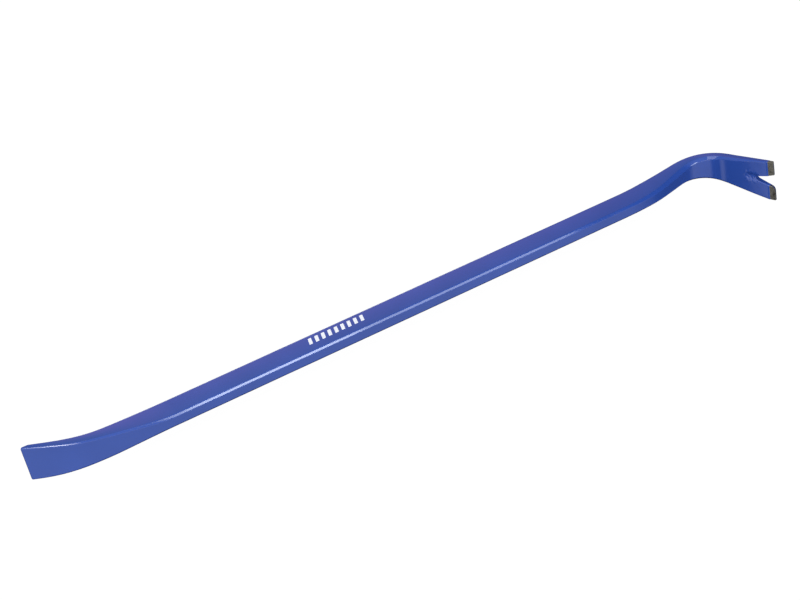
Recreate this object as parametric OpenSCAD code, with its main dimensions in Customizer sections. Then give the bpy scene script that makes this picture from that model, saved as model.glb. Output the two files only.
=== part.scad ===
// Gooseneck pry bar: one steel forging with a chisel blade at one end and a hooked nail claw at
// the other, coated in blue enamel, with a white printed band on one side of the shank.
//
// The bar lies flat. +X runs from the blade to the claw, the bar bends in the XY plane, and +Z is
// the direction of the blade's and the claw's width. The origin is under the middle of the bar.
//
// A centreline runs from the blade's edge to the claw's tips. At a distance s along it the bar has
// a heading, a thickness in the plane of the bends and a width along Z. Its inner side faces -Y on
// the straight shank and becomes the inside of the hook.

/* [Shank] */
// Thickness of the shank in the plane of the bends
shank_t = 25; // [16:0.5:32]
// Width of the shank along Z
shank_w = 10; // [8:0.5:13]
// Length of the straight shank, between the blade's taper and the gooseneck
shank_len = 400; // [200:5:700]
// Radius of the shank's long edges
edge_r = 2.5; // [1:0.1:3.5]

/* [Chisel blade] */
// Length of the forged taper from the shank to the blade's edge
blade_len = 112; // [90:1:150]
// Angle that the blade's edge is swept away from the hook
blade_sweep = 32; // [10:1:35]
// Length of the blade over which the sweep takes place
sweep_len = 75; // [50:1:90]
// Width of the blade at its edge
blade_w = 27.7; // [20:0.1:34]
// Width of the blade halfway along its taper
blade_mid_w = 19.1; // [14:0.1:20]
// Length of nearly parallel sides behind the edge
blade_side_len = 12; // [10:1:20]
// Thickness at the edge before it is ground
blade_edge_t = 3.8; // [3.4:0.1:5]
// Thickness of the blade where its taper is 45 percent done
blade_mid_t = 11.4; // [9:0.1:14]
// Length of the ground bevel on the blade's back
blade_grind_len = 4.5; // [4:0.5:9]
// Depth of the ground bevel at the edge
blade_grind = 2.6; // [1.5:0.1:2.9]

/* [Gooseneck] */
// Angle of the first bend, away from the hook's side
back_bend = 12.4; // [5:0.1:18]
// Length of the first bend
back_len = 56; // [45:1:70]
// Length between the two bends
neck_len = 8; // [2:1:20]
// Thickness halfway along the first bend
back_t = 23.8; // [19:0.1:25]
// Thickness where the hook starts to turn
neck_t = 17; // [12:0.1:18]
// Width where the hook starts to turn
neck_w = 13.9; // [13:0.1:16]
// Angle between the shank and the claw at the end of the turn
hook_turn = 80.7; // [60:0.1:95]
// Length of the turn along the centreline
hook_len = 58; // [50:1:80]
// Thickness halfway round the turn
hook_mid_t = 11.5; // [8:0.1:14]
// Width halfway round the turn
hook_mid_w = 19.1; // [15:0.1:25]

/* [Claw] */
// Length of the flat claw, from the end of the turn to the tips
claw_len = 43.3; // [36:0.1:55]
// Angle by which the tips curl back open
claw_curl = 2; // [0:0.5:6]
// Width where the claw starts
claw_root_w = 25; // [20:0.1:30]
// Width halfway along the claw
claw_mid_w = 30.4; // [25:0.1:36]
// Width over the two tips
claw_w = 35.5; // [31:0.5:42]
// Thickness where the claw starts
claw_root_t = 8.1; // [6:0.1:10]
// Thickness at the tips before they are ground
claw_tip_t = 2.9; // [2.4:0.1:3.6]
// Length of the ground bevel inside the tips, which is left unpainted
claw_grind_len = 5.5; // [3:0.5:7]
// Depth of the ground bevel at the tips
claw_grind = 1.5; // [0.5:0.1:1.7]

/* [Nail slot] */
// Length of the V-shaped slot
slot_len = 18; // [14:0.5:24]
// Width of the slot between the tips
slot_mouth_w = 10.6; // [8:0.2:12]
// Radius at the slot's root
slot_root_r = 1.8; // [1.2:0.1:2.5]
// Radius on the lower tine's inner corner
tine_r = 3.6; // [1:0.2:4]

/* [Finish] */
// Thickness of the enamel
film_t = 0.15; // [0.1:0.01:0.3]
// Thickness of the printed ink
ink_t = 0.06; // [0.04:0.01:0.1]
// Distance from the start of the straight shank to the print
print_x = 113; // [20:1:150]
// Number of printed bars
print_bars = 9; // [3:1:11]
// Distance from one printed bar to the next
print_pitch = 5.6; // [4:0.1:6]
// Height of the printed bars across the shank
print_h = 8.6; // [4:0.2:9]
// Distance of the print's middle from the shank's middle, towards the back
print_off = 2.2; // [0:0.1:2.4]

/* [Hidden] */

// Distances of the main stations along the centreline
shank_start = blade_len;
shank_end = shank_start + shank_len;
hook_start = shank_end + back_len + neck_len;
claw_start = hook_start + hook_len;
bar_end = claw_start + claw_len;
bare_start = bar_end - claw_grind_len;

// Edge radii where the forging thins out: at the tips, in the blade's middle and round the hook
tip_edge_r = 0.35;
blade_mid_edge_r = 1.6;
hook_edge_r = 2.6;
claw_root_edge_r = 1.7;

// Rings along each stretch, and steps in each rounded edge
blade_steps = 22;
hook_steps = 52;
grind_steps = 2;
edge_steps = 4;
ring_n = 4 * (edge_steps + 1);

// 0 to 1 with no slope at either end
function ease(u) = (1 - cos(180 * min(1, max(0, u)))) / 2;

// 1 at the start of a stretch of the given length, falling evenly to 0 at its end
function fade(d, len) = max(0, 1 - d / len);

// A smooth curve that passes through rows of [distance, value] and never overshoots them
function step_len(rows, k) = rows[k + 1].x - rows[k].x;
function secant(rows, k) = (rows[k + 1].y - rows[k].y) / step_len(rows, k);
function joined(h0, h1, d0, d1) =
    d0 * d1 <= 0 ? 0 : 3 * (h0 + h1) / ((2 * h1 + h0) / d0 + (h1 + 2 * h0) / d1);
function slope(rows, k) =
    k == 0 ? secant(rows, 0)
    : k == len(rows) - 1 ? secant(rows, k - 1)
    : joined(step_len(rows, k - 1), step_len(rows, k), secant(rows, k - 1), secant(rows, k));
function row_at(rows, s, k = 0) =
    k >= len(rows) - 2 || s < rows[k + 1].x ? k : row_at(rows, s, k + 1);
function through(rows, s) =
    let (k = row_at(rows, s), h = step_len(rows, k), u = (s - rows[k].x) / h, v = 1 - u)
    rows[k].y * (1 + 2 * u) * v * v + rows[k + 1].y * u * u * (1 + 2 * v)
    + h * u * v * (slope(rows, k) * v - slope(rows, k + 1) * u);

// Heading of the centreline, in degrees towards the hook's side
function heading(s) =
    blade_sweep * (1 - ease(s / sweep_len))
    - back_bend * ease((s - shank_end) / back_len)
    + (back_bend + hook_turn) * ease((s - hook_start) / hook_len)
    - claw_curl * pow(max(0, (s - claw_start) / claw_len), 2);

// Thickness in the plane of the bends, before grinding
thickness_rows = [
    [0, blade_edge_t],
    [0.45 * blade_len, blade_mid_t],
    [shank_start, shank_t],
    [shank_end, shank_t],
    [shank_end + back_len / 2, back_t],
    [hook_start, neck_t],
    [hook_start + hook_len / 2, hook_mid_t],
    [claw_start, claw_root_t],
    [bar_end, claw_tip_t],
];

// Width along Z
width_rows = [
    [0, blade_w],
    [blade_side_len, blade_w - 1],
    [blade_len / 2, blade_mid_w],
    [shank_start, shank_w],
    [shank_end, shank_w],
    [hook_start, neck_w],
    [hook_start + hook_len / 2, hook_mid_w],
    [claw_start, claw_root_w],
    [claw_start + claw_len / 2, claw_mid_w],
    [bar_end, claw_w],
];

// Radius of the long edges
edge_rows = [
    [0, tip_edge_r],
    [blade_len / 2, blade_mid_edge_r],
    [shank_start, edge_r],
    [shank_end, edge_r],
    [hook_start + hook_len / 2, hook_edge_r],
    [claw_start, claw_root_edge_r],
    [bar_end, tip_edge_r],
];

// Distances from the centreline to the inner and the outer face
function inner_t(s) =
    through(thickness_rows, s) / 2 - claw_grind * fade(bar_end - s, claw_grind_len);
function outer_t(s) =
    through(thickness_rows, s) / 2 - blade_grind * fade(s, blade_grind_len);

// Rings at these distances: close together where the bar bends, none along the straight shank
function spread(from, to, steps) = [for (i = [0 : steps]) from + (to - from) * i / steps];
painted_s = concat(
    spread(0, blade_grind_len, grind_steps),
    [for (i = [1 : blade_steps]) blade_grind_len + (blade_len - blade_grind_len) * i / blade_steps],
    spread(shank_end, bare_start, hook_steps)
);
bare_s = [for (i = [1 : grind_steps]) bare_start + claw_grind_len * i / grind_steps];
bar_s = concat(painted_s, bare_s);

// Points of the centreline at those distances, each from the one before by the middle heading
function chord(s0, s1) = let (h = heading((s0 + s1) / 2)) (s1 - s0) * [cos(h), -sin(h)];
function walk(list) = [
    for (
        i = 0, p = [0, 0];
        i < len(list);
        i = i + 1, p = p + chord(list[i - 1], list[min(i, len(list) - 1)])
    )
        p
];
walked = walk(bar_s);
shank_i = blade_steps + grind_steps;
centre_points = [for (p = walked) [p.x, p.y - walked[shank_i].y]];

// A ring of the bar's section, grown outwards by the given amount
function ring(i, grow) =
    let (
        s = bar_s[i],
        p = centre_points[i],
        h = heading(s),
        inner = inner_t(s) + grow,
        outer = outer_t(s) + grow,
        side = through(width_rows, s) / 2 + grow,
        r = through(edge_rows, s) + grow
    )
    [
        for (corner = [0 : 3], j = [0 : edge_steps])
            let (
                a = 90 * (corner + j / edge_steps),
                n = (corner == 0 || corner == 3 ? outer - r : r - inner) + r * cos(a),
                z = (corner < 2 ? side - r : r - side) + r * sin(a)
            )
            [p.x + n * sin(h), p.y + n * cos(h), z]
    ];

// Faces of a tube of rings that starts at point number base, seen from outside it
function tube_faces(rings, base) = [
    for (i = [0 : rings - 2], j = [0 : ring_n - 1])
        let (
            a = base + i * ring_n + j,
            b = base + i * ring_n + (j + 1) % ring_n
        )
        each [[a, a + ring_n, b + ring_n], [a, b + ring_n, b]]
];
function flipped(faces) = [for (f = faces) [f[2], f[1], f[0]]];

// Band of faces that joins one ring to another around the same section
function band_faces(from, to) = [
    for (j = [0 : ring_n - 1])
        let (k = (j + 1) % ring_n)
        each [[from + j, to + j, to + k], [from + j, to + k, from + k]]
];
function ring_list(base) = [for (j = [0 : ring_n - 1]) base + j];
function reversed(list) = [for (j = [len(list) - 1 : -1 : 0]) list[j]];

bar_rings = len(bar_s);
coat_rings = len(painted_s);
bar_points = [for (i = [0 : bar_rings - 1]) each ring(i, 0)];
coat_points = [for (i = [0 : coat_rings - 1]) each ring(i, film_t)];

// Middle of the painted bar's extent in X and Y, which is set over the origin
all_points = concat(bar_points, coat_points);
all_x = [for (p = all_points) p.x];
all_y = [for (p = all_points) p.y];
middle = [(min(all_x) + max(all_x)) / 2, (min(all_y) + max(all_y)) / 2];

module in_place() {
    translate([-middle.x, -middle.y, claw_w / 2])
        children();
}

// Moves a shape drawn at the claw's tips into place: +X leaves the tips, +Y leaves the outer face
module at_tips() {
    tip = centre_points[bar_rings - 1];
    translate([tip.x, tip.y, 0])
        rotate([0, 0, -heading(bar_end - slot_len / 2)])
            children();
}

// Cutter for the V-shaped slot: straight sides that touch a round root
module slot_cutter() {
    cut_t = 4 * claw_root_t;
    over = 4;
    root_x = slot_root_r - slot_len;
    half_angle = atan((slot_mouth_w / 2 - slot_root_r) / -root_x);
    touch = [root_x - slot_root_r * sin(half_angle), slot_root_r * cos(half_angle)];
    mouth_y = touch.y + (over - touch.x) * tan(half_angle);
    at_tips()
        rotate([90, 0, 0])
            linear_extrude(height = cut_t, center = true)
                union() {
                    translate([root_x, 0])
                        circle(r = slot_root_r, $fn = 48);
                    polygon([touch, [over, mouth_y], [over, -mouth_y], [touch.x, -touch.y]]);
                }
}

// Cutter that rounds the lower tine's inner corner
module tine_cutter() {
    cut_t = 4 * claw_root_t;
    over = 3;
    at_tips()
        translate([-tine_r, 0, -slot_mouth_w / 2 - tine_r])
            rotate([90, 0, 0])
                linear_extrude(height = cut_t, center = true)
                    difference() {
                        square([tine_r + over, tine_r + over]);
                        circle(r = tine_r, $fn = 64);
                    }
}

// Cutter for the film on the blade's ground bevel, reaching just under the steel's surface
module bevel_cutter() {
    lift = 3;
    sunk = film_t / 2;
    edge_n = [sin(heading(0)), cos(heading(0))];
    heel_n = [sin(heading(blade_grind_len)), cos(heading(blade_grind_len))];
    edge = centre_points[0] + (outer_t(0) - sunk) * edge_n;
    heel = centre_points[grind_steps] + (outer_t(blade_grind_len) - sunk) * heel_n;
    before = edge - (heel - edge) / 4;
    linear_extrude(height = 2 * blade_w, center = true)
        polygon([before, heel, heel + lift * edge_n, before + lift * edge_n]);
}

module forged_bar() {
    faces = concat(
        [ring_list(0)],
        tube_faces(bar_rings, 0),
        [reversed(ring_list((bar_rings - 1) * ring_n))]
    );
    color([0.42, 0.44, 0.45])
        in_place()
            difference() {
                polyhedron(bar_points, faces);
                slot_cutter();
                tine_cutter();
            }
}

module enamel_coat() {
    count = coat_rings * ring_n;
    skin = [for (k = [0 : count - 1]) bar_points[k]];
    last = (coat_rings - 1) * ring_n;
    faces = concat(
        tube_faces(coat_rings, 0),
        flipped(tube_faces(coat_rings, count)),
        band_faces(count, 0),
        band_faces(last, count + last)
    );
    color([0.22, 0.32, 0.66])
        in_place()
            difference() {
                polyhedron(concat(coat_points, skin), faces);
                slot_cutter();
                bevel_cutter();
            }
}

// Slanted bars in white ink on the upper side of the shank
module printed_band() {
    slant = 2.4;
    bar_w = 2.8;
    color([0.93, 0.94, 0.95])
        in_place()
            translate([centre_points[shank_i].x + print_x, print_off, shank_w / 2 + film_t])
                for (i = [0 : print_bars - 1])
                    translate([i * print_pitch, -print_h / 2, 0])
                        linear_extrude(height = ink_t)
                            polygon([[0, 0], [bar_w, 0], [bar_w + slant, print_h], [slant, print_h]]);
}

forged_bar();
enamel_coat();
printed_band();
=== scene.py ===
"""Gooseneck pry bar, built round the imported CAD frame.

The steel forging and its enamel are two lofted skins that share one description of the bar: a
centreline with a heading, and a thickness, a width and an edge radius at each distance along it.
Shape dimensions are in millimetres, as the design states them; what goes into Blender is in metres.
"""

import math

import bmesh
import bpy
import numpy as np
from mathutils import Matrix, Vector, noise


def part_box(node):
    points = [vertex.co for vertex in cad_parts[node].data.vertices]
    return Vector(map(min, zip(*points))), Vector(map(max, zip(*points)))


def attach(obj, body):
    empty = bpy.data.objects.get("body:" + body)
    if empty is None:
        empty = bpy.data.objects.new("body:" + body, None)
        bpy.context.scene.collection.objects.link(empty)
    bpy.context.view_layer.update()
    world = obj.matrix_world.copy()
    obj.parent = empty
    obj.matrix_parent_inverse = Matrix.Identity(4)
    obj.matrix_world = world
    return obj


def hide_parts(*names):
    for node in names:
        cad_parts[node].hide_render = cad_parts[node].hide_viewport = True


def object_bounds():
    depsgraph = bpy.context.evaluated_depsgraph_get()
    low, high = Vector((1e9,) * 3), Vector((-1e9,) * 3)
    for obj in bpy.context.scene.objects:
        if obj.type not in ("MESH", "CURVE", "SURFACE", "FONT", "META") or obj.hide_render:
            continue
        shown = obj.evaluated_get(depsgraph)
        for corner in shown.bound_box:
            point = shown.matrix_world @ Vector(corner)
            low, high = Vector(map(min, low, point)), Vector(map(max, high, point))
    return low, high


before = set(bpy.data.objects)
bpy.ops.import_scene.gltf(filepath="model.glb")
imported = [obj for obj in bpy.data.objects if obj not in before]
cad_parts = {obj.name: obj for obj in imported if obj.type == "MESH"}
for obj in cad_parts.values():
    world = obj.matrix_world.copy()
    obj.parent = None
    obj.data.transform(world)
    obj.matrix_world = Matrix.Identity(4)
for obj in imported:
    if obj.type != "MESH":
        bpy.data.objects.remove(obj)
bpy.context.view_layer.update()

MM = 0.001

# ---------------------------------------------------------------- driving dimensions, mm

SHANK_T = 25.0
SHANK_W = 10.0
SHANK_LEN = 400.0
EDGE_R = 2.5
INNER_EDGE_R = 1.85
TIP_EDGE_R = 0.35

BLADE_LEN = 112.0
BLADE_SWEEP = 32.0
SWEEP_LEN = 75.0
BLADE_W = 27.7
BLADE_MID_W = 19.1
BLADE_SIDE_LEN = 12.0
BLADE_EDGE_T = 3.8
BLADE_MID_T = 11.4
BLADE_GRIND_LEN = 4.5
BLADE_GRIND = 2.6

BACK_BEND = 12.4
BACK_LEN = 56.0
NECK_LEN = 8.0
BACK_T = 23.8
NECK_T = 17.0
NECK_W = 13.9
HOOK_TURN = 80.7
HOOK_LEN = 58.0
HOOK_MID_T = 11.5
HOOK_MID_W = 19.1

CLAW_LEN = 43.3
CLAW_CURL = 2.0
CLAW_ROOT_W = 25.0
CLAW_MID_W = 30.4
CLAW_W = 35.5
CLAW_ROOT_T = 8.1
CLAW_TIP_T = 2.9
CLAW_GRIND_LEN = 5.5
CLAW_GRIND = 1.5

SLOT_LEN = 18.0
SLOT_MOUTH_W = 10.6
SLOT_ROOT_R = 1.8
LOWER_TINE_R = 3.6
UPPER_TINE_R = 0.5
CORNER_R = 0.9
DISH_DEPTH = 1.1
DISH_R = 4.2
DISH_BEHIND = 5.5
DISH_AHEAD = 1.5
DISH_Z = 0.6

FILM_T = 0.15
PRINT_X = 113.0
PRINT_BARS = 9
PRINT_PITCH = 5.6
PRINT_H = 8.6
PRINT_OFF = 2.2
PRINT_W = 2.8
PRINT_SLANT = 2.4
INK_T = 0.05
INK_SUNK = 0.02

# distances of the main stations along the centreline
SHANK_END = BLADE_LEN + SHANK_LEN
HOOK_START = SHANK_END + BACK_LEN + NECK_LEN
CLAW_START = HOOK_START + HOOK_LEN
BAR_END = CLAW_START + CLAW_LEN
BARE_START = BAR_END - CLAW_GRIND_LEN
SLOT_ROOT = BAR_END - SLOT_LEN

# ---------------------------------------------------------------- the bar's description


def ease(u):
    """0 to 1 with no slope at either end."""
    return (1 - math.cos(math.pi * min(1.0, max(0.0, u)))) / 2


def smooth(lo, hi, x):
    """0 below lo, 1 above hi, and a smooth step between."""
    u = min(1.0, max(0.0, (x - lo) / (hi - lo)))
    return u * u * (3 - 2 * u)


def through(rows, s):
    """The value at s on a smooth curve through (distance, value) rows that never overshoots them."""
    lengths = [b[0] - a[0] for a, b in zip(rows, rows[1:])]
    secants = [(b[1] - a[1]) / (b[0] - a[0]) for a, b in zip(rows, rows[1:])]
    slopes = [secants[0]]
    for (h0, h1), (d0, d1) in zip(zip(lengths, lengths[1:]), zip(secants, secants[1:])):
        flat = d0 * d1 <= 0
        slopes.append(0 if flat else 3 * (h0 + h1) / ((2 * h1 + h0) / d0 + (h1 + 2 * h0) / d1))
    slopes.append(secants[-1])
    k = 0
    while k < len(lengths) - 1 and s >= rows[k + 1][0]:
        k += 1
    h = lengths[k]
    u = (s - rows[k][0]) / h
    v = 1 - u
    ends = rows[k][1] * (1 + 2 * u) * v * v + rows[k + 1][1] * u * u * (1 + 2 * v)
    return ends + h * u * v * (slopes[k] * v - slopes[k + 1] * u)


def heading(s):
    """Direction of the centreline in radians, towards the hook's side."""
    degrees = (
        BLADE_SWEEP * (1 - ease(s / SWEEP_LEN))
        - BACK_BEND * ease((s - SHANK_END) / BACK_LEN)
        + (BACK_BEND + HOOK_TURN) * ease((s - HOOK_START) / HOOK_LEN)
        - CLAW_CURL * max(0.0, (s - CLAW_START) / CLAW_LEN) ** 2
    )
    return math.radians(degrees)


THICKNESS = [
    (0, BLADE_EDGE_T),
    (0.45 * BLADE_LEN, BLADE_MID_T),
    (BLADE_LEN, SHANK_T),
    (SHANK_END, SHANK_T),
    (SHANK_END + BACK_LEN / 2, BACK_T),
    (HOOK_START, NECK_T),
    (HOOK_START + HOOK_LEN / 2, HOOK_MID_T),
    (CLAW_START, CLAW_ROOT_T),
    (BAR_END, CLAW_TIP_T),
]
WIDTH = [
    (0, BLADE_W),
    (BLADE_SIDE_LEN, BLADE_W - 1),
    (BLADE_LEN / 2, BLADE_MID_W),
    (BLADE_LEN, SHANK_W),
    (SHANK_END, SHANK_W),
    (HOOK_START, NECK_W),
    (HOOK_START + HOOK_LEN / 2, HOOK_MID_W),
    (CLAW_START, CLAW_ROOT_W),
    (CLAW_START + CLAW_LEN / 2, CLAW_MID_W),
    (BAR_END, CLAW_W),
]
# radius of the edges of the outer face, and how far those of the inner face cut into it
OUTER_EDGE = [
    (0, TIP_EDGE_R),
    (BLADE_LEN / 2, 1.6),
    (BLADE_LEN, EDGE_R),
    (SHANK_END, EDGE_R),
    (HOOK_START + HOOK_LEN / 2, 2.6),
    (CLAW_START, 1.7),
    (BAR_END, TIP_EDGE_R),
]
INNER_EDGE = [
    (0, TIP_EDGE_R),
    (BLADE_LEN / 2, 1.1),
    (BLADE_LEN - 4, INNER_EDGE_R),
    (SHANK_END, INNER_EDGE_R),
    (HOOK_START, 2.4),
    (HOOK_START + HOOK_LEN / 2, 2.2),
    (CLAW_START, 1.5),
    (BAR_END, TIP_EDGE_R),
]
# how much further the inner face's edges reach along the bar's side than across the face
INNER_REACH = [
    (0, 1.0),
    (SHANK_END - 4, 1.0),
    (SHANK_END + 30, 1.2),
    (HOOK_START, 1.4),
    (HOOK_START + HOOK_LEN / 2, 1.2),
    (CLAW_START, 1.0),
    (BAR_END, 1.0),
]
# how far the bar's side falls off at its edges, on the thick part of the bar
CROWN = 0.2
# rounding of the claw's tips and of the blade's edge
TIP_ROUND = 0.15
BLADE_ROUND = 0.12


def round_off(d, r):
    """How far a corner of radius r draws a side in, at distance d from the end it meets."""
    return 0.0 if d >= r else r - math.sqrt(max(0.0, r * r - (r - d) ** 2))


def fade(d, length):
    """1 at the start of a stretch, falling evenly to 0 at its end."""
    return max(0.0, 1 - d / length)


def end_rounding(s):
    """How far the rounded tips and blade's edge draw a face in at s."""
    return round_off(BAR_END - s, TIP_ROUND) + round_off(s, BLADE_ROUND)


def inner_t(s):
    """Distance from the centreline to the inner face."""
    ground = through(THICKNESS, s) / 2 - CLAW_GRIND * fade(BAR_END - s, CLAW_GRIND_LEN)
    return ground - end_rounding(s)


def outer_t(s):
    """Distance from the centreline to the outer face."""
    ground = through(THICKNESS, s) / 2 - BLADE_GRIND * fade(s, BLADE_GRIND_LEN)
    return ground - end_rounding(s)


def half_width(s):
    return through(WIDTH, s) / 2 - round_off(BAR_END - s, CORNER_R) - round_off(s, CORNER_R)


SLOT_HALF_ANGLE = math.atan((SLOT_MOUTH_W / 2 - SLOT_ROOT_R) / (SLOT_LEN - SLOT_ROOT_R))
SLOT_CENTRE = SLOT_ROOT + SLOT_ROOT_R


def slot_half(s, shrink, tine_r):
    """Half the slot's width at s, drawn in by shrink, with the tine's inner corner rounded off."""
    u = s - SLOT_CENTRE
    r = SLOT_ROOT_R - shrink
    if u <= -r:
        return 0.0
    if u < -r * math.sin(SLOT_HALF_ANGLE):
        return math.sqrt(r * r - u * u)
    side = (r + u * math.sin(SLOT_HALF_ANGLE)) / math.cos(SLOT_HALF_ANGLE)
    return side + round_off(BAR_END - s, tine_r)


def slot_distance(s, z):
    """Distance from a point of the claw's face to the slot's outline."""
    u, v = s - SLOT_CENTRE, abs(z)
    sin, cos = math.sin(SLOT_HALF_ANGLE), math.cos(SLOT_HALF_ANGLE)
    if u * cos + v * sin < 0:
        return math.hypot(u, v) - SLOT_ROOT_R
    return v * cos - u * sin - SLOT_ROOT_R


# ---------------------------------------------------------------- centreline

WALK_STEP = 0.25


def walk():
    """Points of the centreline every WALK_STEP, with the straight shank on y = 0."""
    count = int(round(BAR_END / WALK_STEP))
    points = [(0.0, 0.0)]
    for i in range(count):
        h = heading((i + 0.5) * WALK_STEP)
        x, y = points[-1]
        points.append((x + WALK_STEP * math.cos(h), y - WALK_STEP * math.sin(h)))
    shank_y = points[int(BLADE_LEN / WALK_STEP)][1]
    return np.array([(x, y - shank_y) for x, y in points])


CENTRELINE = walk()
WALKED = np.arange(len(CENTRELINE)) * WALK_STEP


def centre(s):
    """The point of the centreline at s."""
    return np.interp(s, WALKED, CENTRELINE[:, 0]), np.interp(s, WALKED, CENTRELINE[:, 1])


# ---------------------------------------------------------------- rings


def steps(lo, hi, step):
    """Even distances from lo up to, but without, hi."""
    count = max(1, int(round((hi - lo) / step)))
    return [lo + (hi - lo) * i / count for i in range(count)]


def clustered_from(lo, hi, count):
    """Distances from lo to hi that start very close together."""
    return [lo + (hi - lo) * (1 - math.cos(math.pi / 2 * i / count)) for i in range(count)]


def stations():
    """Distances of the rings: dense where the surface turns, at the slot and at the paint's edges."""
    fine = [
        clustered_from(0, CORNER_R, 9),
        steps(CORNER_R, BLADE_GRIND_LEN - 0.8, 0.6),
        steps(BLADE_GRIND_LEN - 0.8, BLADE_GRIND_LEN + 0.8, 0.14),
        steps(BLADE_GRIND_LEN + 0.8, 40, 1.2),
        steps(40, BLADE_LEN - 16, 2.0),
        steps(BLADE_LEN - 16, BLADE_LEN + 2, 0.8),
        steps(BLADE_LEN + 2, SHANK_END, 5.0),
        steps(SHANK_END, HOOK_START, 2.0),
        steps(HOOK_START, CLAW_START, 1.0),
        steps(CLAW_START, SLOT_ROOT - 13, 0.9),
        steps(SLOT_ROOT - 13, SLOT_ROOT - 1, 0.4),
        steps(SLOT_ROOT - 1, SLOT_ROOT, 0.12),
        clustered_from(SLOT_ROOT, SLOT_ROOT + 1.5, 16),
        steps(SLOT_ROOT + 1.5, BARE_START + 0.2, 0.35),
        steps(BARE_START + 0.2, BARE_START + 1.8, 0.11),
        steps(BARE_START + 1.8, BAR_END - LOWER_TINE_R, 0.3),
        [BAR_END - LOWER_TINE_R * math.cos(math.pi / 2 * i / 20) for i in range(21)],
    ]
    return sorted(set(round(s, 4) for part in fine for s in part))


# faces across half of a face, round a corner, down a side and down the slot's wall
FACE_N = 26
CORNER_N = 12
SIDE_N = 12
WALL_N = 8
# points on a face crowd towards the slot by this power
FACE_CROWDING = 1.7
# the inner face's edges are nearly flat chamfers, the outer face's are round
INNER_POWER = 1.08
OUTER_POWER = 2.0
NOTCH_EDGE_R = 0.45

# what part of the section a point belongs to
INNER, SIDE, OUTER = range(3)


def corner(a, reach_n, reach_z, power):
    """A rounded corner's offset from its own centre, and its normal, at angle a. It reaches reach_n
    in n and reach_z in z. A power of 2 makes it an ellipse, and less makes it more like a chamfer."""
    cos, sin = math.cos(a), math.sin(a)
    n = reach_n * math.copysign(abs(cos) ** (2 / power), cos)
    z = reach_z * math.copysign(abs(sin) ** (2 / power), sin)
    slope_n = math.copysign(abs(n / reach_n) ** (power - 1), n) / reach_n
    slope_z = math.copysign(abs(z / reach_z) ** (power - 1), z) / reach_z
    steep = math.hypot(slope_n, slope_z)
    return n, z, slope_n / steep, slope_z / steep


def section(s, sign, grow):
    """Half of the section at s, from the slot round the outside and back: rows of
    (n, z, normal n, normal z, part, edge), where n runs out of the bends and edge is 1 on a corner."""
    inner, outer, width = inner_t(s), outer_t(s), half_width(s)
    r_in = min(through(INNER_EDGE, s), 0.45 * (inner + outer), 0.9 * width)
    r_out = min(through(OUTER_EDGE, s), 0.45 * (inner + outer), 0.9 * width)
    tine_r = UPPER_TINE_R if sign > 0 else LOWER_TINE_R
    gap = slot_half(s, grow, tine_r)
    rows = []
    long_in = r_in * through(INNER_REACH, s)
    flat = inner + outer - long_in - r_out
    reach = width - r_in
    for i in range(FACE_N + 1):
        z = gap + (reach - gap) * (i / FACE_N) ** FACE_CROWDING
        rows.append((-inner, z, -1.0, 0.0, INNER, 0.0))
    for i in range(1, CORNER_N):
        a = math.pi - math.pi / 2 * i / CORNER_N
        across, along, *normal = corner(a, long_in, r_in, INNER_POWER)
        rows.append((long_in - inner + across, reach + along, *normal, SIDE, 1.0))
    for i in range(SIDE_N + 1):
        n = long_in - inner + flat * ease(i / SIDE_N)
        rows.append((n, width, 0.0, 1.0, SIDE, 0.0))
    reach = width - r_out
    for i in range(1, CORNER_N):
        a = math.pi / 2 - math.pi / 2 * i / CORNER_N
        across, along, *normal = corner(a, r_out, r_out, OUTER_POWER)
        rows.append((outer - r_out + across, reach + along, *normal, SIDE, 1.0))
    for i in range(FACE_N + 1):
        z = gap + (reach - gap) * (1 - i / FACE_N) ** FACE_CROWDING
        rows.append((outer, z, 1.0, 0.0, OUTER, 0.0))
    crown = CROWN * smooth(3.0, 12.0, inner + outer)
    middle, half = (outer - inner) / 2, (inner + outer) / 2
    crowned = []
    for n, z, *rest in rows:
        fall = crown * ((n - middle) / half) ** 2 * (z / width) ** 4
        crowned.append((n, z - fall, *rest))
    return crowned, gap


def dish(s, z):
    """Depth of the hammered hollow in the claw's inner face, which runs into the slot's root."""
    nearest = min(max(s, SLOT_ROOT - DISH_BEHIND), SLOT_ROOT + DISH_AHEAD)
    d = math.hypot(s - nearest, z - DISH_Z) / DISH_R
    lumps = noise.noise(Vector((s / 1.9, z / 1.9, 4.0)))
    bowl = DISH_DEPTH * (1 - smooth(0.15, 1.0, d))
    return bowl * (1 + 0.35 * lumps) + 0.12 * lumps * (1 - smooth(0.6, 1.6, d))


def notch_drop(s, z):
    """Rounding of the face's edge along the slot."""
    d = slot_distance(s, z)
    return round_off(max(0.0, d), NOTCH_EDGE_R)


def hammered(point, normal_part):
    """Shallow unevenness of the forging, always inwards, in mm."""
    broad = noise.noise(Vector((point[0] / 46, point[1] / 17, point[2] / 17 + 3.0 * normal_part)))
    close = noise.noise(Vector((point[0] / 13, point[1] / 8, point[2] / 8 + 9.0 * normal_part)))
    return -0.05 + 0.04 * broad + 0.012 * close


# where the enamel ends: inside and outside the claw, and short of the blade's edge
PAINT_END = BARE_START + 1.0
OUTER_PAINT_END = BAR_END - 3.2
EDGE_PAINT_START = 0.22
# half of the distance over which it thins out there, and how far it is sunk in the bare steel
PAINT_TAPER = 0.14
SUNK = 0.12


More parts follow.
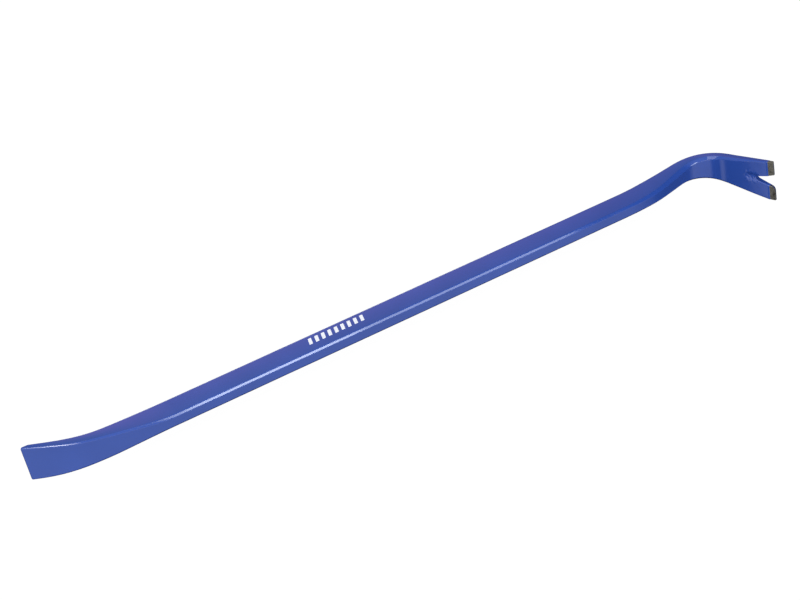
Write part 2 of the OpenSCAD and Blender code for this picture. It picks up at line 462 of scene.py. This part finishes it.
def film(s, z, part, phase):
    """Height of the enamel over the steel, sunk below it where the steel is bare."""
    wobble = 0.16 * noise.noise(Vector((z * 0.9, phase, 1.0)))
    wobble += 0.09 * noise.noise(Vector((z * 3.1, phase, 5.0)))
    if part == OUTER:
        claw_limit = OUTER_PAINT_END + 2 * wobble
        blade_limit = BLADE_GRIND_LEN + wobble
    else:
        claw_limit = PAINT_END + 1.6 * wobble
        blade_limit = EDGE_PAINT_START + 0.5 * wobble
    claw = smooth(claw_limit + PAINT_TAPER, claw_limit - PAINT_TAPER, s)
    blade = smooth(blade_limit - PAINT_TAPER, blade_limit + PAINT_TAPER, s)
    covered = claw * blade
    return FILM_T * covered - SUNK * (1 - covered)


class Skin:
    """Vertices and faces of one lofted skin of the bar, in millimetres, with a value at each vertex
    that is 1 on the bar's rounded edges."""

    def __init__(self, painted):
        self.painted = painted
        self.verts = []
        self.edge = []
        self.faces = []
        self.build()

    def height(self, s, z, part, sign):
        return film(s, z, part, sign * 2.0 + part) if self.painted else 0.0

    def place(self, s, n, z, nn, nz, part, sign, edge):
        """A vertex at (n, z) of the section at s, moved out along its normal."""
        x, y = centre(s)
        h = heading(s)
        out = self.height(s, z, part, sign)
        where = (x + n * math.sin(h), y + n * math.cos(h), sign * z)
        out += hammered(where, part)
        n, z = n + nn * out, z + nz * out
        self.verts.append((x + n * math.sin(h), y + n * math.cos(h), sign * z))
        self.edge.append(edge)
        return len(self.verts) - 1

    def ring(self, s, sign):
        """One half ring and, where the slot is open, the slot's wall."""
        shrink = FILM_T if self.painted and s < PAINT_END else 0.0
        rows, gap = section(s, sign, shrink)
        loop = []
        for n, z, nn, nz, part, edge in rows:
            if part == INNER:
                n += dish(s, sign * z) + notch_drop(s, z)
            if part == OUTER:
                n -= notch_drop(s, z)
            near = edge or (part in (INNER, OUTER) and slot_distance(s, z) < NOTCH_EDGE_R)
            loop.append(self.place(s, n, z, nn, nz, part, sign, 1.0 if near else 0.0))
        return loop, gap

    def build(self):
        all_s = stations()
        halves = {}
        for sign in (1, -1):
            halves[sign] = [self.ring(s, sign) for s in all_s]
            loops = [loop for loop, _ in halves[sign]]
            for a, b in zip(loops, loops[1:]):
                for j in range(len(a) - 1):
                    self.quad(a[j], b[j], b[j + 1], a[j + 1], sign)
            self.wall(all_s, halves[sign], sign)
            self.cap(loops[0], -sign)
            self.cap(loops[-1], sign)

    def quad(self, a, b, c, d, sign):
        self.faces.append((a, b, c, d) if sign > 0 else (d, c, b, a))

    def wall(self, all_s, half, sign):
        """The slot's side, between the outer and the inner face's edges."""
        previous = None
        for s, (loop, gap) in zip(all_s, half):
            if s < SLOT_ROOT - 1e-6:
                continue
            first, last = self.verts[loop[-1]], self.verts[loop[0]]
            row = [loop[-1]]
            for k in range(1, WALL_N):
                u = k / WALL_N
                self.verts.append(tuple(p + (q - p) * u for p, q in zip(first, last)))
                self.edge.append(0.0)
                row.append(len(self.verts) - 1)
            row.append(loop[0])
            if previous:
                for k in range(WALL_N):
                    self.quad(previous[k], row[k], row[k + 1], previous[k + 1], sign)
            previous = row

    def cap(self, loop, sign):
        """Closes an end: each point of the inner face to the one opposite it on the outer face."""
        count = len(loop)
        for j in range(count // 2):
            k = count - 1 - j
            if k - j > 2:
                self.quad(loop[j], loop[j + 1], loop[k - 1], loop[k], sign)
            elif k - j == 2:
                tri = (loop[j], loop[j + 1], loop[k])
                self.faces.append(tri if sign > 0 else tri[::-1])


def placed(verts):
    """Moves the bar's own millimetres to the frame's metres, middle over middle."""
    low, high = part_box("forged_bar")
    steel = np.array(STEEL.verts)
    middle = (steel.min(0) + steel.max(0)) / 2
    target = (np.array(low) + np.array(high)) / 2
    return (np.array(verts) - middle) * MM + target


CREASE_ANGLE = 40


def make_object(name, verts, faces, edge=None):
    """A mesh object, smooth except across sharp creases, with the edge values as an attribute."""
    mesh = bpy.data.meshes.new(name)
    mesh.from_pydata([tuple(v) for v in verts], [], faces)
    mesh.validate()
    if edge is not None:
        layer = mesh.attributes.new("edge", "FLOAT", "POINT")
        layer.data.foreach_set("value", edge)
    mesh.shade_smooth()
    mesh.set_sharp_from_angle(angle=math.radians(CREASE_ANGLE))
    made = bpy.data.objects.new(name, mesh)
    bpy.context.scene.collection.objects.link(made)
    return made


STEEL = Skin(painted=False)
ENAMEL = Skin(painted=True)


JOIN_GAP = 0.004


def merged(obj):
    """Joins the two halves along the bar's middle plane."""
    bm = bmesh.new()
    bm.from_mesh(obj.data)
    bmesh.ops.remove_doubles(bm, verts=bm.verts, dist=JOIN_GAP * MM)
    bmesh.ops.recalc_face_normals(bm, faces=bm.faces)
    bm.to_mesh(obj.data)
    bm.free()


# ---------------------------------------------------------------- materials


class Nodes:
    """A material's node tree, with short calls for the nodes that it uses."""

    def __init__(self, name):
        self.material = bpy.data.materials.new(name)
        self.material.use_nodes = True
        self.tree = self.material.node_tree
        self.shader = self.tree.nodes["Principled BSDF"]

    def add(self, kind, **settings):
        made = self.tree.nodes.new(kind)
        for key, value in settings.items():
            setattr(made, key, value)
        return made

    def link(self, a, b):
        self.tree.links.new(a, b)

    def noise(self, scale, detail=3.0, roughness=0.5, vector=None):
        made = self.add("ShaderNodeTexNoise")
        made.inputs["Scale"].default_value = scale
        made.inputs["Detail"].default_value = detail
        made.inputs["Roughness"].default_value = roughness
        if vector:
            self.link(vector, made.inputs["Vector"])
        return made.outputs["Fac"]

    def stretched(self, scale):
        where = self.add("ShaderNodeTexCoord").outputs["Object"]
        mapping = self.add("ShaderNodeMapping")
        mapping.inputs["Scale"].default_value = scale
        self.link(where, mapping.inputs["Vector"])
        return mapping.outputs["Vector"]

    def ramp(self, fac, stops):
        made = self.add("ShaderNodeValToRGB")
        ramp = made.color_ramp
        while len(ramp.elements) < len(stops):
            ramp.elements.new(0.5)
        for element, (position, colour) in zip(ramp.elements, stops):
            element.position = position
            element.color = colour if len(colour) == 4 else (*colour, 1.0)
        self.link(fac, made.inputs["Fac"])
        return made.outputs["Color"]

    def grey(self, fac, low, high, start=0.0, end=1.0):
        return self.ramp(fac, [(start, (low, low, low)), (end, (high, high, high))])

    def bump(self, height, distance, strength):
        made = self.add("ShaderNodeBump")
        made.inputs["Distance"].default_value = distance
        made.inputs["Strength"].default_value = strength
        self.link(height, made.inputs["Height"])
        return made.outputs["Normal"]

    def mix(self, fac, a, b):
        made = self.add("ShaderNodeMix", data_type="RGBA")
        self.link(fac, made.inputs["Factor"])
        for value, key in ((a, "A"), (b, "B")):
            socket = next(i for i in made.inputs if i.name == key and i.type == "RGBA")
            if isinstance(value, tuple):
                socket.default_value = (*value, 1.0)
            else:
                self.link(value, socket)
        return next(o for o in made.outputs if o.type == "RGBA")

    def maths(self, operation, a, b):
        made = self.add("ShaderNodeMath", operation=operation)
        for socket, value in zip(made.inputs, (a, b)):
            if isinstance(value, (int, float)):
                socket.default_value = value
            else:
                self.link(value, socket)
        return made.outputs["Value"]


def enamel():
    """Glossy blue paint, worn to a paler blue in specks along the bar's edges."""
    n = Nodes("blue_enamel")
    where = n.stretched((1, 1, 1))
    tone = n.ramp(
        n.noise(22.0, 3.0, vector=where),
        [(0.3, (0.0195, 0.06, 0.305)), (0.7, (0.0245, 0.07, 0.345))],
    )
    edge = n.add("ShaderNodeAttribute", attribute_name="edge").outputs["Fac"]
    specks = n.noise(900.0, 2.0, vector=where)
    scuffed = n.grey(n.maths("MULTIPLY", edge, specks), 0.0, 0.5, 0.62, 0.72)
    n.link(n.mix(scuffed, tone, (0.045, 0.08, 0.33)), n.shader.inputs["Base Color"])
    n.link(n.grey(n.noise(60.0, 4.0, vector=where), 0.06, 0.1, 0.3, 0.7), n.shader.inputs["Roughness"])
    n.link(n.bump(n.noise(260.0, 2.0, vector=where), 0.00003, 0.25), n.shader.inputs["Normal"])
    n.shader.inputs["IOR"].default_value = 1.6
    return n.material


def ground_steel():
    """Bare steel with fine scratches along the bar's width and dark stains."""
    n = Nodes("ground_steel")
    scratches = n.noise(1.0, 4.0, 0.7, vector=n.stretched((260, 260, 2600)))
    stains = n.noise(240.0, 4.0, 0.6, vector=n.stretched((1, 1, 1)))
    clean = n.ramp(scratches, [(0.3, (0.085, 0.082, 0.07)), (0.7, (0.27, 0.26, 0.225))])
    dark = n.grey(stains, 0.0, 0.8, 0.5, 0.68)
    n.link(n.mix(dark, clean, (0.03, 0.027, 0.023)), n.shader.inputs["Base Color"])
    n.link(n.grey(scratches, 0.34, 0.58), n.shader.inputs["Roughness"])
    n.link(n.bump(scratches, 0.00012, 0.7), n.shader.inputs["Normal"])
    n.shader.inputs["Metallic"].default_value = 0.85
    return n.material


def white_ink():
    """Printed ink, thin in places so that some blue shows through."""
    n = Nodes("white_ink")
    where = n.stretched((1, 1, 1))
    thin = n.noise(1500.0, 3.0, 0.6, vector=where)
    tone = n.ramp(thin, [(0.25, (0.55, 0.62, 0.8)), (0.45, (0.86, 0.88, 0.93))])
    n.link(tone, n.shader.inputs["Base Color"])
    n.link(n.grey(thin, 0.35, 0.5), n.shader.inputs["Roughness"])
    n.link(n.bump(thin, 0.00002, 0.4), n.shader.inputs["Normal"])
    return n.material


def floor_paper():
    """White paper that glows evenly, so that it has no edge against the background."""
    n = Nodes("pale_paper")
    n.link(n.grey(n.noise(30.0, 3.0), 0.05, 0.06), n.shader.inputs["Base Color"])
    n.shader.inputs["Roughness"].default_value = 0.9
    n.shader.inputs["Specular IOR Level"].default_value = 0.0
    n.shader.inputs["Emission Color"].default_value = (1, 1, 1, 1)
    n.shader.inputs["Emission Strength"].default_value = 0.98
    return n.material


# ---------------------------------------------------------------- pieces


def finish_piece(obj, material, body_slot, *nodes):
    obj.data.materials.append(material)
    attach(obj, "root")
    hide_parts(*nodes)


def build_forging():
    obj = make_object("forging", placed(STEEL.verts), STEEL.faces)
    merged(obj)
    finish_piece(obj, ground_steel(), "ground_steel", "forged_bar")
    return obj


def build_enamel():
    obj = make_object("enamel", placed(ENAMEL.verts), ENAMEL.faces, ENAMEL.edge)
    merged(obj)
    finish_piece(obj, enamel(), "blue_enamel", "enamel_coat")
    return obj


def side_height(x, y):
    """Height of the enamel over the bar's middle plane on the shank's upper side, mm."""
    return SHANK_W / 2 + FILM_T + hammered((x, y, SHANK_W / 2), SIDE)


def build_print():
    """Slanted bars of ink that follow the enamel under them, with rounded corners."""
    rows, columns, corner_r = 14, 4, 0.35
    verts, faces = [], []
    start = float(centre(BLADE_LEN)[0]) + PRINT_X
    for bar in range(PRINT_BARS):
        for layer in (INK_T, -INK_SUNK):
            for i in range(rows + 1):
                v = PRINT_H * ease(i / rows)
                trim = round_off(v, corner_r) + round_off(PRINT_H - v, corner_r)
                trim = min(trim, PRINT_W / 2 - 0.01)
                for j in range(columns + 1):
                    across = trim + (PRINT_W - 2 * trim) * j / columns
                    x = start + bar * PRINT_PITCH + across + PRINT_SLANT * v / PRINT_H
                    y = PRINT_OFF - PRINT_H / 2 + v
                    verts.append((x, y, side_height(x, y) + layer))
        faces += bar_faces(bar * 2 * (rows + 1) * (columns + 1), rows, columns)
    obj = make_object("print_bars", placed(verts), faces)
    finish_piece(obj, white_ink(), "white_ink", "printed_band")
    return obj


def bar_faces(base, rows, columns):
    """Faces of one ink bar: a top and a bottom grid and the rim between them."""
    wide = columns + 1
    under = (rows + 1) * wide
    made = []
    for i in range(rows):
        for j in range(columns):
            a = base + i * wide + j
            made.append((a, a + 1, a + wide + 1, a + wide))
            made.append((a + under, a + under + wide, a + under + wide + 1, a + under + 1))
    rim = [base + j for j in range(wide)]
    rim += [base + i * wide + columns for i in range(1, rows + 1)]
    rim += [base + rows * wide + j for j in range(columns - 1, -1, -1)]
    rim += [base + i * wide for i in range(rows - 1, 0, -1)]
    for a, b in zip(rim, rim[1:] + rim[:1]):
        made.append((b, a, a + under, b + under))
    return made


# ---------------------------------------------------------------- stage, light and camera

CAMERA_AZIMUTH = 23.4
CAMERA_ELEVATION = 29.4
CAMERA_ROLL = -12.53
CAMERA_DISTANCE = 1.197
CAMERA_LENS = 69.41
AIM = Vector((-0.0035, 0.0322, 0.01775))


def direction(azimuth, elevation):
    """Unit vector towards a place seen at an azimuth (0 is -Y, 90 is +X) and an elevation."""
    a, e = math.radians(azimuth), math.radians(elevation)
    return Vector((math.sin(a) * math.cos(e), -math.cos(a) * math.cos(e), math.sin(e)))


def build_camera():
    data = bpy.data.cameras.new("camera")
    data.lens = CAMERA_LENS
    data.sensor_width = 36.0
    obj = bpy.data.objects.new("camera", data)
    bpy.context.scene.collection.objects.link(obj)
    back = direction(-CAMERA_AZIMUTH, CAMERA_ELEVATION)
    turn = (-back).to_track_quat("-Z", "Y").to_matrix().to_4x4()
    turn = turn @ Matrix.Rotation(math.radians(CAMERA_ROLL), 4, "Z")
    obj.matrix_world = Matrix.Translation(AIM + back * CAMERA_DISTANCE) @ turn
    bpy.context.scene.camera = obj


def softbox(name, position, aim, size, power, colour=(1, 1, 1)):
    """A rectangular light whose long side lies along X."""
    data = bpy.data.lights.new(name, "AREA")
    data.shape = "RECTANGLE"
    data.size, data.size_y = size
    data.energy = power
    data.color = colour
    obj = bpy.data.objects.new(name, data)
    bpy.context.scene.collection.objects.link(obj)
    obj.location = position
    obj.rotation_mode = "QUATERNION"
    obj.rotation_quaternion = (Vector(aim) - Vector(position)).to_track_quat("-Z", "Y")
    return obj


def build_stage():
    """A wide pale sheet on the surface that the bar lies on, unseen in its gloss."""
    reach = 6.0
    gap = 0.2 * MM
    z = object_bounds()[0].z - gap
    corners = [(-reach, -reach, z), (reach, -reach, z), (reach, reach, z), (-reach, reach, z)]
    mesh = bpy.data.meshes.new("floor")
    mesh.from_pydata(corners, [], [(0, 1, 2, 3)])
    obj = bpy.data.objects.new("floor", mesh)
    bpy.context.scene.collection.objects.link(obj)
    mesh.materials.append(floor_paper())
    obj.visible_glossy = False
    obj.visible_diffuse = False
    obj.visible_shadow = False


# The surroundings are layers: a brightness at each azimuth (0 is -Y, 90 is +X) times one at each
# elevation, in degrees. They are the white table in front of the bar, the lit room above it, the
# ceiling, and the dim room behind the bar with its faintly purple light.
TABLE = (
    [
        (-180, 0.0),
        (-115.5, 0.0),
        (-113, 0.85),
        (-108, 0.8),
        (-105, 0.03),
        (-80, 0.08),
        (-66, 0.9),
        (0, 0.95),
        (30, 1.0),
        (42, 0.5),
        (54, 0.08),
        (180, 0.05),
    ],
    [(-90, 0.05), (-52, 0.08), (-40, 0.78), (-22, 0.8), (-12, 1.4), (-2, 0.8), (90, 0.0)],
)
FRONT = (
    [
        (-180, 0.3),
        (-128, 0.5),
        (-112, 0.9),
        (-60, 1.1),
        (-20, 1.0),
        (10, 0.6),
        (38, 0.3),
        (48, 0.1),
        (60, 0.02),
        (180, 0.02),
    ],
    [(-90, 0.0), (-8, 0.0), (2, 1.2), (22, 1.1), (46, 0.5), (62, 0.1), (90, 0.0)],
)
ZENITH = ([(-180, 1.0), (180, 1.0)], [(-90, 0.0), (52, 0.0), (66, 0.4), (90, 0.5)])
BEHIND = (
    [
        (-180, 0.2),
        (-150, 0.4),
        (-140, 0.0),
        (136, 0.0),
        (142, 0.15),
        (147, 0.5),
        (154, 0.8),
        (166, 1.0),
        (170, 0.6),
        (174, 0.15),
        (180, 0.2),
    ],
    [(-90, 0.0), (10, 0.0), (24, (0.68, 0.4, 0.9)), (35, (0.33, 0.35, 0.3)), (60, 0.25), (90, 0.0)],
)


def build_world():
    """Soft surroundings, added up from the layers."""
    world = bpy.data.worlds.new("studio")
    world.use_nodes = True
    bpy.context.scene.world = world
    tree = world.node_tree

    def node(kind, **settings):
        made = tree.nodes.new(kind)
        for key, value in settings.items():
            setattr(made, key, value)
        return made

    def maths(operation, a, b=0.0):
        made = node("ShaderNodeMath", operation=operation)
        for socket, value in zip(made.inputs, (a, b)):
            if isinstance(value, (int, float)):
                socket.default_value = value
            else:
                tree.links.new(value, socket)
        return made.outputs["Value"]

    def ramp(fac, low, high, stops):
        """A colour at each angle in degrees, where fac is in radians."""
        span = node("ShaderNodeMapRange")
        span.inputs["From Min"].default_value = math.radians(low)
        span.inputs["From Max"].default_value = math.radians(high)
        tree.links.new(fac, span.inputs["Value"])
        made = node("ShaderNodeValToRGB")
        elements = made.color_ramp.elements
        while len(elements) < len(stops):
            elements.new(0.5)
        for element, (angle, colour) in zip(elements, stops):
            element.position = (angle - low) / (high - low)
            element.color = (*colour, 1) if isinstance(colour, tuple) else (colour, colour, colour, 1)
        tree.links.new(span.outputs["Result"], made.inputs["Fac"])
        return made.outputs["Color"]

    split = node("ShaderNodeSeparateXYZ")
    tree.links.new(node("ShaderNodeTexCoord").outputs["Generated"], split.inputs["Vector"])
    x, y, z = (split.outputs[axis] for axis in "XYZ")
    azimuth = maths("ARCTAN2", x, maths("MULTIPLY", y, -1.0))
    elevation = maths("ARCSINE", z)

    def blended(kind, a, b):
        made = node("ShaderNodeMix", data_type="RGBA", blend_type=kind)
        made.inputs["Factor"].default_value = 1.0
        sockets = [i for i in made.inputs if i.type == "RGBA"]
        tree.links.new(a, sockets[0])
        tree.links.new(b, sockets[1])
        return next(o for o in made.outputs if o.type == "RGBA")

    total = None
    for around, height in (TABLE, FRONT, ZENITH, BEHIND):
        layer = blended("MULTIPLY", ramp(azimuth, -180, 180, around), ramp(elevation, -90, 90, height))
        total = blended("ADD", total, layer) if total else layer
    tree.links.new(total, tree.nodes["Background"].inputs["Color"])
    tree.nodes["Background"].inputs["Strength"].default_value = 1.0


def build_lights():
    """The key and the spark make the long light line on the shank, and the near light makes the
    one on the blade. The fill, top and rear lights are soft and shape the rest."""
    softbox("key", (0.7, -1.1, 1.86), (0.7, 0, 0.02), (1.1, 0.6), 9, (0.88, 0.95, 1.0))
    softbox("spark", (0.45, -1.08, 1.84), (0.45, 0, 0.02), (0.4, 0.6), 4.4, (0.85, 0.93, 1.0))
    softbox("fill", (-1.08, -0.73, 1.65), (-0.3, 0.02, 0.02), (1.1, 0.4), 8)
    softbox("near", (-0.65, -0.3, 0.8), (-0.25, 0.02, 0.02), (0.35, 0.08), 1)
    softbox("top", (-0.4, 0.45, 1.3), (0, 0, 0.02), (0.8, 0.6), 3)
    softbox("rear", (0, 1.6, 0.3), (0, 0, 0.02), (1.6, 0.3), 4)


build_camera()
build_forging()
build_enamel()
build_print()
build_stage()
build_world()
build_lights()
bpy.context.scene.view_settings.view_transform = "Standard"
